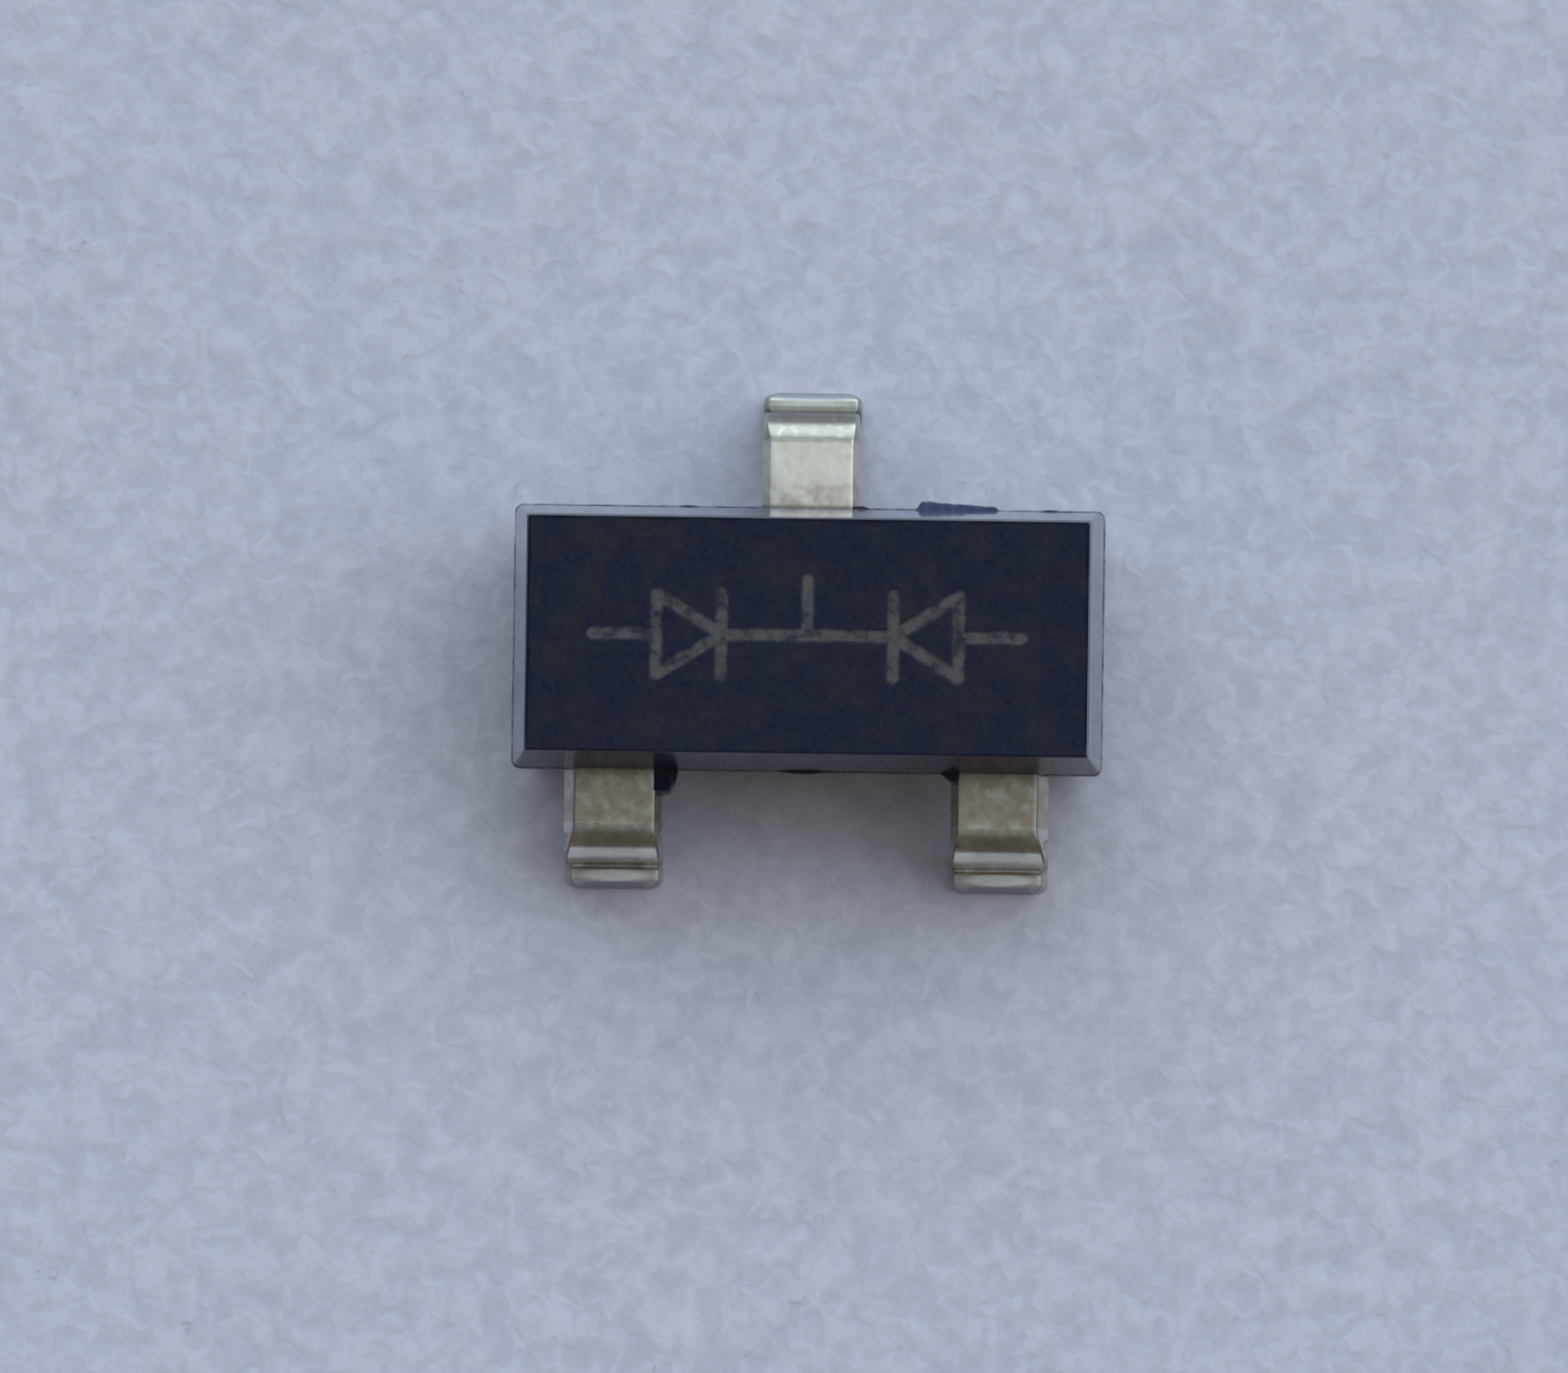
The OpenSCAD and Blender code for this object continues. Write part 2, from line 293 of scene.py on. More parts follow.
class Finish(NodeBoard):
    """A surface finish under construction."""

    def __init__(self, name):
        self.material = bpy.data.materials.new(name)
        super().__init__(self.material)
        self.shader = self.add("ShaderNodeBsdfPrincipled")
        self.add("ShaderNodeOutputMaterial", {"Surface": self.shader.outputs["BSDF"]})
        self.places = self.add("ShaderNodeTexCoord").outputs["Object"]

    def set(self, name, value):
        """Sets one of the shader's own sockets."""
        if not isinstance(value, (int, float, bpy.types.NodeSocket)):
            value = (*value, 1.0)
        self.give(self.shader.inputs[name], value)

    def point_value(self, name):
        """The number that a piece stores under this name at each point."""
        return self.add("ShaderNodeAttribute", attribute_name=name).outputs["Fac"]

    def grain(self, wavelength, detail=2.0, roughness=0.5, stretch=None, curl=0.0):
        """Noise from 0 to 1 with features of about the wavelength."""
        places = self.places
        if stretch:
            places = self.add("ShaderNodeMapping", {"Vector": places, "Scale": stretch}).outputs["Vector"]
        inputs = {
            "Vector": places, "Scale": 1.0 / wavelength, "Detail": detail,
            "Roughness": roughness, "Distortion": curl,
        }
        return self.add("ShaderNodeTexNoise", inputs).outputs["Fac"]

    def relief(self, height, depth, strength=1.0):
        """Fine relief, one layer over another."""
        inputs = {"Height": height, "Distance": depth, "Strength": strength}
        normal = self.shader.inputs["Normal"]
        if normal.is_linked:
            inputs["Normal"] = normal.links[0].from_socket
        self.join(self.add("ShaderNodeBump", inputs).outputs["Normal"], normal)


def toned(colour, level):
    """A colour made darker or lighter."""
    return [level * part for part in colour]


def resin_ground(finish, colours):
    """Black resin with grains of filler, faint clouds and patches of haze."""
    specks = finish.remap(finish.grain(9 * MICRON, 3.0, 0.6), 0.50, 0.78)
    clouds = finish.remap(finish.grain(190 * MICRON, 3.0, 0.6), 0.40, 0.66, 0.0, 0.75)
    patches = finish.remap(finish.grain(130 * MICRON, 3.0, 0.6, (1.0, 1.0, 0.5)), 0.45, 0.68, 0.0, 0.55)
    ground = finish.blend(specks, colours.resin, colours.filler)
    return finish.blend(patches, finish.blend(clouds, ground, colours.bloom), colours.haze)


def matte_resin(colours):
    """The grained top of the moulding, smooth at its rim with painted shade darkening it there, and pale
    where the mark is burnt in.
    """
    finish = Finish("matte_resin")
    rim = finish.point_value("rim")
    rimmed = finish.blend(rim, resin_ground(finish, colours), colours.rim)
    worn = finish.remap(finish.grain(70 * MICRON, 4.0, 0.65), 0.30, 0.62, 0.12, 0.9)
    burnt = finish.product_of(finish.point_value("etch"), worn)
    finish.set("Base Color", finish.blend(burnt, rimmed, colours.etched))
    matte = finish.remap(finish.grain(30 * MICRON), 0.30, 0.70, 0.36, 0.48)
    finish.set("Roughness", finish.sum_of(matte, finish.remap(rim, 0.0, 1.0, 0.0, -0.30)))
    finish.set("IOR", RESIN_INDEX)
    finish.set("Specular IOR Level", 0.16)
    finish.relief(finish.grain(14 * MICRON, 3.0, 0.6), 0.5 * MICRON)
    finish.relief(finish.grain(60 * MICRON), 0.8 * MICRON)
    return finish.material


def resin_skin(name, colours, polish, smeared_polish=None):
    """The walls and the parting band, polished by the mould and duller where resin smeared."""
    finish = Finish(name)
    finish.set("Base Color", resin_ground(finish, colours))
    finish.set("Roughness", finish.remap(finish.grain(40 * MICRON), 0.30, 0.70, 0.22, 0.32))
    finish.set("IOR", RESIN_INDEX)
    finish.set("Specular IOR Level", 0.35 * polish)
    finish.set("Coat Weight", polish)
    if smeared_polish is not None:
        smear = finish.point_value("smear")
        finish.set("Coat Weight", finish.remap(smear, 0.0, 1.0, polish, smeared_polish))
    finish.set("Coat Roughness", 0.08)
    finish.set("Coat IOR", RESIN_INDEX)
    finish.set("Sheen Weight", 0.10 * polish * polish)
    finish.set("Sheen Roughness", 0.35)
    finish.set("Sheen Tint", (0.45, 0.55, 1.0))
    finish.relief(finish.grain(70 * MICRON), 0.15 * MICRON)
    return finish.material


def torn_resin(colours):
    """Dull resin where the gate broke off, its bluish colour a painted reflection of bluish light."""
    finish = Finish("torn_resin")
    flakes = finish.remap(finish.grain(22 * MICRON, 3.0, 0.6), 0.30, 0.70)
    finish.set("Base Color", finish.blend(flakes, toned(colours.torn, 0.6), colours.torn))
    finish.set("Roughness", finish.remap(flakes, 0.0, 1.0, 0.55, 0.75))
    finish.set("Specular IOR Level", 0.15)
    finish.relief(finish.grain(18 * MICRON, 3.0, 0.6), 1.5 * MICRON)
    return finish.material


def tin_plate(colours):
    """Dull electroplated tin: forming streaks, tarnish with painted shade, painted shade in corners, on bends
    and at edges, a painted highlight on the feet, rough grey where it was cut.
    """
    finish = Finish("tin_plate")
    dull, frost, cut = (finish.point_value(name) for name in ("dull", "frost", "cut"))
    clouds = finish.remap(finish.grain(75 * MICRON, 3.0, 0.55), 0.32, 0.68, -0.32, 0.32)
    streaks = finish.grain(16 * MICRON, 3.0, 0.6, (1.0, 0.12, 0.12))
    # Tarnish together with painted shade: the lead's share plus clouds.
    dulled = finish.remap(finish.sum_of(dull, clouds), 0.0, 1.0)
    plate = finish.blend(dulled, colours.tin, colours.tarnish)
    streaked = finish.blend(finish.remap(streaks, 0.45, 0.75, 0.0, 0.15), plate, colours.tarnish)
    patchy = finish.remap(finish.grain(45 * MICRON, 3.0), 0.25, 0.55, 0.7, 1.0)
    # Painted shade: dark tin where shade, dark reflections and the root's contact shadow fall; a share over 1
    # paints deeper shade.
    stain = finish.point_value("stain")
    deep_stain = finish.blend(finish.remap(stain, 1.0, 2.0), colours.stain, toned(colours.stain, 0.3))
    stained = finish.blend(finish.product_of(stain, patchy), streaked, deep_stain)
    # Painted highlight on the feet, which also roughens the tin.
    frosty = finish.blend(frost, stained, colours.frost)
    sheared = finish.blend(finish.remap(cut, 0.0, 1.0), frosty, colours.sheared)
    smears = finish.remap(finish.grain(25 * MICRON, 3.0), 0.36, 0.60)
    bared = finish.product_of(finish.remap(cut, 1.0, 2.0), smears)
    finish.set("Base Color", finish.blend(bared, sheared, colours.copper))
    finish.set("Metallic", 1.0)
    burnished = finish.point_value("burnish")
    roughness = finish.remap(finish.grain(45 * MICRON), 0.30, 0.70, 0.45, 0.50)
    for wear, change in ((burnished, -0.22), (dull, -0.16), (frost, 0.30), (cut, 0.10)):
        roughness = finish.sum_of(roughness, finish.remap(wear, 0.0, 1.0, 0.0, change))
    finish.set("Roughness", roughness)
    tooth = finish.remap(burnished, 0.0, 1.0, 1.0, 0.12)
    finish.relief(finish.grain(9 * MICRON), 0.08 * MICRON, tooth)
    finish.relief(streaks, 0.25 * MICRON, tooth)
    return finish.material


def inner_finish(name, texture, base, lighter, metallic, roughness, depth):
    """A metal-like finish whose colour, gloss and relief follow one fine texture."""
    finish = Finish(name)
    grain = finish.grain(*texture)
    finish.set("Base Color", finish.blend(grain, base, lighter))
    finish.set("Metallic", metallic)
    finish.set("Roughness", finish.remap(grain, 0.3, 0.7, *roughness))
    finish.relief(grain, depth)
    return finish.material


def sawn_silicon(colours):
    """Dark silicon with saw lines on its sides and a bright contact on top."""
    saw_lines = (6 * MICRON, 2.0, 0.5, (1.0, 1.0, 0.2))
    return inner_finish(
        "sawn_silicon", saw_lines, colours.silicon, colours.contact, 0.8, (0.15, 0.35), 0.5 * MICRON
    )


def solder_film(colours):
    """Grey solder that froze in soft ripples."""
    ripples = (35 * MICRON, 3.0)
    return inner_finish(
        "solder_film", ripples, colours.solder, colours.solder_dull, 1.0, (0.25, 0.45), 1.5 * MICRON
    )


def drawn_wire(colours):
    """Gold-coloured wire with die lines."""
    die_lines = (8 * MICRON, 2.0, 0.5, (0.2, 0.2, 1.0))
    return inner_finish(
        "drawn_wire", die_lines, colours.gold, colours.gold_light, 1.0, (0.16, 0.30), 0.4 * MICRON
    )


def pale_paper(colours):
    """Uncoated paper: soft blotches, matted fibres, a few dark flecks."""
    finish = Finish("pale_paper")
    paper, light = colours.paper, colours.paper_light
    blotches = finish.remap(finish.grain(230 * MICRON, 2.0, 0.6), 0.30, 0.70)
    clouds = finish.remap(finish.grain(1400 * MICRON, 3.0, 0.55), 0.30, 0.70, 0.0, 0.4)
    fibres = finish.grain(105 * MICRON, 1.2, 0.6, curl=0.8)
    flecks = finish.remap(finish.grain(75 * MICRON, 1.0, curl=1.0), 0.70, 0.84, 0.0, 0.6)
    sheet = finish.blend(clouds, finish.blend(blotches, toned(paper, 0.91), light), paper)
    matted = finish.blend(finish.remap(fibres, 0.30, 0.52, 0.35, 0.0), sheet, toned(paper, 0.80))
    tipped = finish.blend(finish.remap(fibres, 0.50, 0.72, 0.0, 0.5), matted, toned(light, 1.10))
    finish.set("Base Color", finish.blend(flecks, tipped, toned(paper, 0.72)))
    finish.set("Roughness", finish.remap(fibres, 0.3, 0.7, 0.80, 0.95))
    finish.set("Specular IOR Level", 0.2)
    finish.relief(fibres, 4 * MICRON)
    finish.relief(blotches, 2.5 * MICRON)
    return finish.material


# Moulded body

# Steps of the mesh along the body, across it, round half an upright corner and up each part of the walls
COLUMNS = 276
ROWS = 116
CORNER_STEPS = 4
LOWER_EDGE_STEPS, LOWER_WALL_STEPS = 4, 7
UPPER_EDGE_STEPS, UPPER_WALL_STEPS = 6, 11
BAND_LEVELS = (0.0, 0.14, 0.3, 0.46, 0.62, 0.76, 0.9, 1.0)
FRONT, RIGHT, BACK, LEFT = range(4)
SIDE_STEPS = (COLUMNS, ROWS, COLUMNS, ROWS)
RING = 2 * (COLUMNS + ROWS)
CORNERS = ((-1, -1), (1, -1), (1, 1), (-1, 1))

# Small forms of the mould
BAND_CHAMFER = 2 * MICRON
EDGE_MARGIN = 8 * MICRON
CORNER_TAPER = 0.45
LEAST_CORNER = 0.012 * MM
SLOT_MARGIN = 10 * MICRON
SLOT_DEPTH = 6 * MICRON

# Waves: depth and length; the rim's depth is in steps of the mesh and those of the stubs are shares
BAND_RIPPLES = ((1.6 * MICRON, 90 * MICRON), (1.2 * MICRON, 30 * MICRON))
WALL_WAVE = (0.9 * MICRON, 170 * MICRON)
TOP_TOOTH = (0.45 * MICRON, 34 * MICRON)
MARK_WOBBLE = (5 * MICRON, 60 * MICRON)
RIM_WANDER = (1.5, 160 * MICRON)
RAGGED_STUB = (0.10, 25 * MICRON)
TORN_STUB = (0.2, 38 * MICRON)

# The broken gate: left end, length, height, taper, shares of its slanted ends, least reach that is torn
GATE_START = 0.52 * MM
GATE_LENGTH = 0.405 * MM
GATE_HEIGHT = 0.072 * MM
GATE_TAPER = 0.62
GATE_ENDS = (0.07, 0.03)
TORN_FROM = 0.004 * MM

# Nicks on the cathode side and the bulge between the anode leads: start, end, slant, reach
NICKS = (
    (0.205 * MM, 0.29 * MM, 0.03 * MM, 0.014 * MM),
    (-0.66 * MM, -0.54 * MM, 0.05 * MM, 0.005 * MM),
    (1.13 * MM, 1.23 * MM, 0.04 * MM, 0.005 * MM),
)
BULGE = (-0.16 * MM, 0.14 * MM, 0.12 * MM, 0.012 * MM)

# Flash: a sliver at the inner edge of the left lead and a web at that of the right lead
SLIVER_OVER_LEAD = 0.060 * MM
SLIVER_BESIDE_LEAD = 0.072 * MM
SLIVER_SLANT = 0.16
SLIVER_CORNER = 0.35
SLIVER_CORNER_FROM = 0.72
WEB_OFFSET = 0.012 * MM
WEB_WIDTH = 0.065 * MM
LEAST_FLASH = 0.01 * MM
STUB_ROUNDING = 0.22

# Smear on the wall at the cathode lead, which thins out between two heights above the lead
SMEAR_HALF_WIDTH = 0.40 * MM
SMEAR_SOFT_EDGE = 0.32 * MM
SMEAR_THINNING = 0.4
SMEAR_HEIGHTS = (0.10 * MM, 0.40 * MM)

# Left half of the two-diode symbol, in millimetres: ends of each line
MARK_LINES = (
    ((-1.05, 0.0), (-0.74, 0.0)),
    ((-0.74, 0.20), (-0.74, -0.20)),
    ((-0.74, 0.20), (-0.42, 0.0)),
    ((-0.74, -0.20), (-0.42, 0.0)),
    ((-0.42, 0.20), (-0.42, -0.20)),
    ((-0.42, 0.0), (0.0, 0.0)),
    ((0.0, 0.0), (0.0, 0.27)),
)
MARK_SOFT_EDGE = 9 * MICRON

# Painted rim shade and polish of the top, in steps of the mesh: fade inwards, start behind the front edge,
# rise of the grain
RIM_FADE = (1.5, 5.5)
RIM_FROM_FRONT = (2.0, 12.0)
TOOTH_RISE = 4

MATTE_TOP, SKIN, SCUFFED_SKIN, TORN_FACE = range(4)
WALL_POLISH, SMEARED_POLISH, FRONT_POLISH = 1.0, 0.30, 0.40


def body_outline(half_x, half_y, radius):
    """Points round a rounded rectangle from its front left corner: place, outward direction, side."""
    outline = []
    for side in range(4):
        facing = RIGHT_ANGLE * (side - 1)
        straight_steps = SIDE_STEPS[side] - 2 * CORNER_STEPS
        centres = [
            Vector((sx * (half_x - radius), sy * (half_y - radius)))
            for sx, sy in (CORNERS[side], CORNERS[(side + 1) % 4])
        ]
        for step in range(SIDE_STEPS[side]):
            along = clamped((step - CORNER_STEPS) / straight_steps)
            into_corner = min(step - CORNER_STEPS, 0) + max(step - CORNER_STEPS - straight_steps, 0)
            turn = facing + RIGHT_ANGLE / 2 * into_corner / CORNER_STEPS
            out = Vector((math.cos(turn), math.sin(turn)))
            outline.append((centres[0].lerp(centres[1], along) + radius * out, out, side))
    return outline


def body_levels(body, leads):
    """Heights and insets of the rings from the underside up to the edge of the top."""
    lean = math.tan(body.draft)
    low, high = leads.upper_face - leads.thickness, leads.upper_face

    def wall(start, end, steps, base):
        """A drafted wall that leans in from the height of its base."""
        heights = [start + (end - start) * step / steps for step in range(steps + 1)]
        return [(height, body.ledge + abs(height - base) * lean, "wall") for height in heights]

    def edge_round(face, base, steps):
        """Round between a drafted wall and the flat face above or below it."""
        up = 1 if face > base else -1
        radius = body.edge_radius
        centre = face - up * radius
        inset = body.ledge + abs(centre - base) * lean + radius / math.cos(body.draft)
        arc = []
        for step in range(steps + 1):
            turn = body.draft + (RIGHT_ANGLE - body.draft) * step / steps
            arc.append((centre + up * radius * math.sin(turn), inset - radius * math.cos(turn), "edge"))
        return arc if up > 0 else arc[::-1]

    lower_edge = edge_round(body.underside, low, LOWER_EDGE_STEPS)
    upper_edge = edge_round(body.top, high, UPPER_EDGE_STEPS)
    band = [(low, BAND_CHAMFER, "band")]
    for share in BAND_LEVELS:
        band.append((low + BAND_CHAMFER + (high - low - 2 * BAND_CHAMFER) * share, 0.0, "band"))
    band.append((high, BAND_CHAMFER, "band"))
    lower_wall = wall(lower_edge[-1][0] + EDGE_MARGIN, low, LOWER_WALL_STEPS, low)
    upper_wall = wall(high, upper_edge[0][0] - EDGE_MARGIN, UPPER_WALL_STEPS, high)
    return lower_edge + lower_wall + band + upper_wall + upper_edge


def stub(x, start, end, slant, reach):
    """How far a stub stands out of the band at x, falling to 0 over its slanted ends."""
    return clamped(min(x - start, end - x) / slant) * reach


def gate_stub(x, z, body, leads):
    """How far the broken gate stands out of the band; it tapers away to the right."""
    across = (x - GATE_START) / GATE_LENGTH
    if z < leads.upper_face - GATE_HEIGHT or not 0.0 < across < 1.0:
        return 0.0
    ends = min(across / GATE_ENDS[0], (1.0 - across) / GATE_ENDS[1], 1.0)
    return body.gate_reach * (1.0 - GATE_TAPER * across) * ends


def front_flash(x, body, leads):
    """How far the flash beside the two anode leads stands out of the band."""
    inner_edge = leads.pitch - leads.width / 2
    start, end = -inner_edge - SLIVER_OVER_LEAD, -inner_edge + SLIVER_BESIDE_LEAD
    sliver = 0.0
    if start < x < end:
        across = (x - start) / (end - start)
        corner = SLIVER_CORNER * smoothstep(SLIVER_CORNER_FROM, 1.0, across)
        sliver = body.flash_reach * (1.0 - SLIVER_SLANT * across - corner)
    web = body.corner_flash * max(1.0 - abs(x - inner_edge - WEB_OFFSET) / WEB_WIDTH, 0.0)
    return max(sliver, web)


def band_reach(side, x, y, z, body, leads):
    """How far a point of the parting band stands out of, or is sunk into, the band's outline."""
    ripple = sum(waver(x, y, z, wave) for wave in BAND_RIPPLES)
    if side not in (FRONT, BACK):
        return ripple
    if side == BACK:
        slots, flash = (0.0,), 0.0
        torn_gate = gate_stub(x, z, body, leads) * (1.0 + waver(x, y, z, TORN_STUB))
        stands_out = torn_gate + sum(stub(x, *nick) for nick in NICKS)
    else:
        slots, flash = (-leads.pitch, leads.pitch), front_flash(x, body, leads)
        stands_out = flash + stub(x, *BULGE)
    in_slot = any(abs(x - slot) < leads.width / 2 - SLOT_MARGIN for slot in slots)
    if in_slot and flash < LEAST_FLASH:
        return -body.ledge - SLOT_DEPTH
    half = leads.thickness / 2
    rounding = 1.0 - STUB_ROUNDING * abs((z - leads.upper_face + half) / half) ** 3
    return ripple + stands_out * rounding * (1.0 + waver(x, y, z, RAGGED_STUB))


def resin_smear(x, z, leads):
    """1 on the wall at the cathode lead, fading out to its sides and upwards."""
    across = clamped((SMEAR_HALF_WIDTH - abs(x)) / SMEAR_SOFT_EDGE)
    return across * (1.0 - SMEAR_THINNING * smoothstep(*SMEAR_HEIGHTS, z - leads.upper_face))


def etched_share(x, y, stroke):
    """1 on the lines of the two-diode symbol etched into the top, 0 off them."""
    place = Vector((-abs(x), y))
    nearest = 1.0
    for start, end in MARK_LINES:
        a, b = Vector(start) * MM, Vector(end) * MM
        share = clamped((place - a).dot(b - a) / (b - a).length_squared)
        nearest = min(nearest, (place - a.lerp(b, share)).length)
    nearest += waver(x, y, 0.0, MARK_WOBBLE)
    return 1.0 - smoothstep(stroke / 2 - MARK_SOFT_EDGE, stroke / 2 + MARK_SOFT_EDGE, nearest)


def mould_walls(body, leads):
    """Points and faces from the underside up to the brim of the top, smear of each point, torn points."""
    points, smear, torn = [], [], set()
    for z, inset, part in body_levels(body, leads):
        radius = max(body.corner_radius - CORNER_TAPER * inset, LEAST_CORNER)
        for place, out, side in body_outline(body.length / 2 - inset, body.width / 2 - inset, radius):
            shift = waver(place.x, place.y, z, WALL_WAVE)
            if part == "band":
                shift = band_reach(side, place.x, place.y, z, body, leads)
                if side == BACK and gate_stub(place.x, z, body, leads) > TORN_FROM:
                    torn.add(len(points))
            x, y = place + shift * out
            points.append((x, y - body.shift, z))
            smear.append(resin_smear(place.x, z, leads) if side == BACK and part == "wall" else 0.0)
    underside = tuple(range(RING - 1, -1, -1))
    return points, [*ring_faces(points, RING), underside], smear, torn


def mould_top(body, points, faces):
    """Adds the grained top inside its brim, with the mark sunk into it; gives its etched shares and its
    shares of painted rim shade and polish.
    """
    brim, grid, etch, rim = len(points) - RING, {}, [], []
    for column in range(COLUMNS + 1):
        grid[column, 0] = brim + column
        grid[column, ROWS] = brim + 2 * COLUMNS + ROWS - column
    for row in range(ROWS + 1):
        grid[COLUMNS, row] = brim + COLUMNS + row
        grid[0, row] = brim + (RING - row) % RING

    def between(start, end, share):
        return Vector(points[grid[start]]).lerp(Vector(points[grid[end]]), share)

    for row in range(1, ROWS):
        v = row / ROWS
        for column in range(1, COLUMNS):
            u = column / COLUMNS
            low, high = between((0, 0), (COLUMNS, 0), u), between((0, ROWS), (COLUMNS, ROWS), u)
            place = between((column, 0), (column, ROWS), v) + between((0, row), (COLUMNS, row), u)
            place -= low.lerp(high, v)
            near_rim = min(column, COLUMNS - column, row, ROWS - row)
            fade = smoothstep(*RIM_FADE, near_rim + waver(place.x, place.y, 0.0, RIM_WANDER))
            rim.append(smoothstep(*RIM_FROM_FRONT, row) * (1.0 - fade))
            etch.append(etched_share(place.x, place.y + body.shift, body.mark_stroke))
            tooth = clamped(near_rim / TOOTH_RISE) * waver(place.x, place.y, 0.0, TOP_TOOTH)
            grid[column, row] = len(points)
            points.append((place.x, place.y, body.top + tooth - body.mark_depth * etch[-1]))
    for row in range(ROWS):
        for column in range(COLUMNS):
            corners = ((column, row), (column + 1, row), (column + 1, row + 1), (column, row + 1))
            faces.append(tuple(grid[corner] for corner in corners))
    return etch, rim


class DIODE_OT_moulded_body(bpy.types.Operator):
    """Mould the resin body with its parting band, gate stub, flash and etched mark"""

    bl_idname = "diode.moulded_body"
    bl_label = "Moulded body"

    def execute(self, context):
        scene = context.scene
        body, leads, colours = scene.diode_body, scene.diode_leads, scene.diode_colours
        points, faces, smear, torn = mould_walls(body, leads)
        wall_points, wall_faces = len(points), len(faces)
        etch, rim = mould_top(body, points, faces)
        finishes = {
            MATTE_TOP: matte_resin(colours),
            SKIN: resin_skin("resin_skin", colours, WALL_POLISH, SMEARED_POLISH),
            SCUFFED_SKIN: resin_skin("scuffed_resin_skin", colours, FRONT_POLISH),
            TORN_FACE: torn_resin(colours),
        }
        piece = make_piece("resin_body", points, faces, *finishes.values())
        for face in piece.data.polygons[:wall_faces]:
            face.material_index = SCUFFED_SKIN if face.index % RING < COLUMNS else SKIN
            if torn.intersection(face.vertices):
                face.material_index = TORN_FACE
        values = {
            "etch": [0.0] * wall_points + etch,
            "rim": [1.0] * wall_points + rim,
            "smear": smear + [0.0] * len(etch),
        }
        store_values(piece, values)
        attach(piece, "root")
        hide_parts("moulded_body")
        return {"FINISHED"}


# Gull-wing leads

# Steps of the mesh round the strip's section and along its stretches
TOP_STEPS, BOTTOM_STEPS = 20, 8
ROLL_STEPS, BURR_STEPS = 5, 3
SHOULDER_STEPS, BEND_STEPS, RISER_STEPS, FOOT_STEPS = 30, 16, 14, 8

# Where the paddle and the posts narrow to the strip, from the middle of the body
PADDLE_STEP = 0.38 * MM
POST_STEP = 0.44 * MM

# Shares by which a bend and a foot press the slanted edges upright, and the wave of the strip
BEND_UPRIGHT = 0.8
FOOT_UPRIGHT = 0.5
STRIP_WAVE = (0.8 * MICRON, 120 * MICRON)

# The cut at the tip: bulge of its corners, curve of its drop, soft edge, bared copper, cleaner sides
TIP_BULGE = 1.7
CUT_CURVE = 1.2
CUT_SOFT_EDGE = 0.25
COPPER_BARED = 2.0
CLEAN_SIDES = 0.6
CLEAN_FROM = (0.5, 0.75)

# Rub marks and painted shade: where they start and end, how softly and how strongly
ROOT_LINE = 0.012 * MM
ROOT_DULL_RUN = (0.04 * MM, 0.20 * MM)
RUB_SOFT_EDGE = 8 * MICRON
BEND_ONSET = math.radians(5)
SMOKE_END = (0.85, 0.96)
SMOKE_LOSS = 0.6
CORNER_SLOPES = (math.radians(3), math.radians(14))
STAIN_SOFT_EDGE = 0.08
STAIN_SIDE_FADE = 0.15
FOOT_WIDENING = 0.15
WIDENING_FROM = -0.5
FULL_WIDTH = 1.2
SIDE_STAIN = 0.1
ROLL_SHARE = 0.95

# Painted highlight patch of a foot: middle along the foot, half width, half length, fade, share left off it
GLOW_MIDDLE = 0.24
GLOW_WIDTH = 0.72
GLOW_LENGTH = 0.40
GLOW_FADE = (0.6, 1.15)
FROST_OFF_GLOW = 0.2


class LeadLook(NamedTuple):
    """How blanking, forming and storing left one lead, with the painted shade and painted highlight put on
    it: shares, where painted shade over 1 is deeper.
    """

    dull: float
    root_dull: float
    root_stain: float
    rub: float
    rub_reach: float  # in lengths of the burnish
    bend_stain: float
    corner_stain: float
    stain_width: float
    stain_reach: float  # along the foot
    frost: float
    cut_drop: float
    edge_stain: float
    slants: tuple  # left and right, in metres
    bend_dark: float = 0.0
    bend_stain_from: float = 0.0  # slope in radians
    foot_stain: float = 0.0
    foot_edge_stain: float = 0.0
    line_stain: float = 0.0
    cut_from: float = 0.0


# Each lead's tarnish share also paints shade: heavy on the anode leads for the body's shade on them. The root
# share paints shade near the body; a negative one paints light there.
CATHODE_LOOK = LeadLook(
    dull=0.02, root_dull=0.38, root_stain=1.1, rub=0.60, rub_reach=1.0, bend_stain=0.82,
    corner_stain=1.8, stain_width=1.0, stain_reach=0.16, foot_stain=0.6, line_stain=0.55,
    frost=0.25, cut_from=-0.35, cut_drop=0.3, edge_stain=0.3, slants=(0.034 * MM, 0.030 * MM),
)
LEFT_LOOK = LeadLook(
    dull=0.84, root_dull=-0.18, root_stain=0.6, rub=1.0, rub_reach=1.6, bend_dark=0.28,
    bend_stain=0.7, bend_stain_from=1.20, corner_stain=0.82, stain_width=0.66, stain_reach=-0.1,
    foot_edge_stain=0.5, frost=0.85, cut_drop=0.8, edge_stain=1.5, slants=(0.048 * MM, 0.030 * MM),
)
RIGHT_LOOK = LEFT_LOOK._replace(
    bend_stain=0.36, corner_stain=0.5, stain_width=0.6, edge_stain=1.6, slants=(0.030 * MM, 0.052 * MM)
)


class Lead(NamedTuple):
    """One lead: its solid, middle, side of the body, inner end with its two half widths, and look."""

    node: str
    middle: float
    outward: int
    inner_end: float
    step_at: float
    inner_widths: tuple
    look: LeadLook


def quarter_round(across, through, radius, start, steps):
    """Points of a quarter circle round a centre from a start angle on, without its end."""
    turns = [start + RIGHT_ANGLE * n / steps for n in range(steps)]
    return [(across + radius * math.cos(turn), through + radius * math.sin(turn)) for turn in turns]


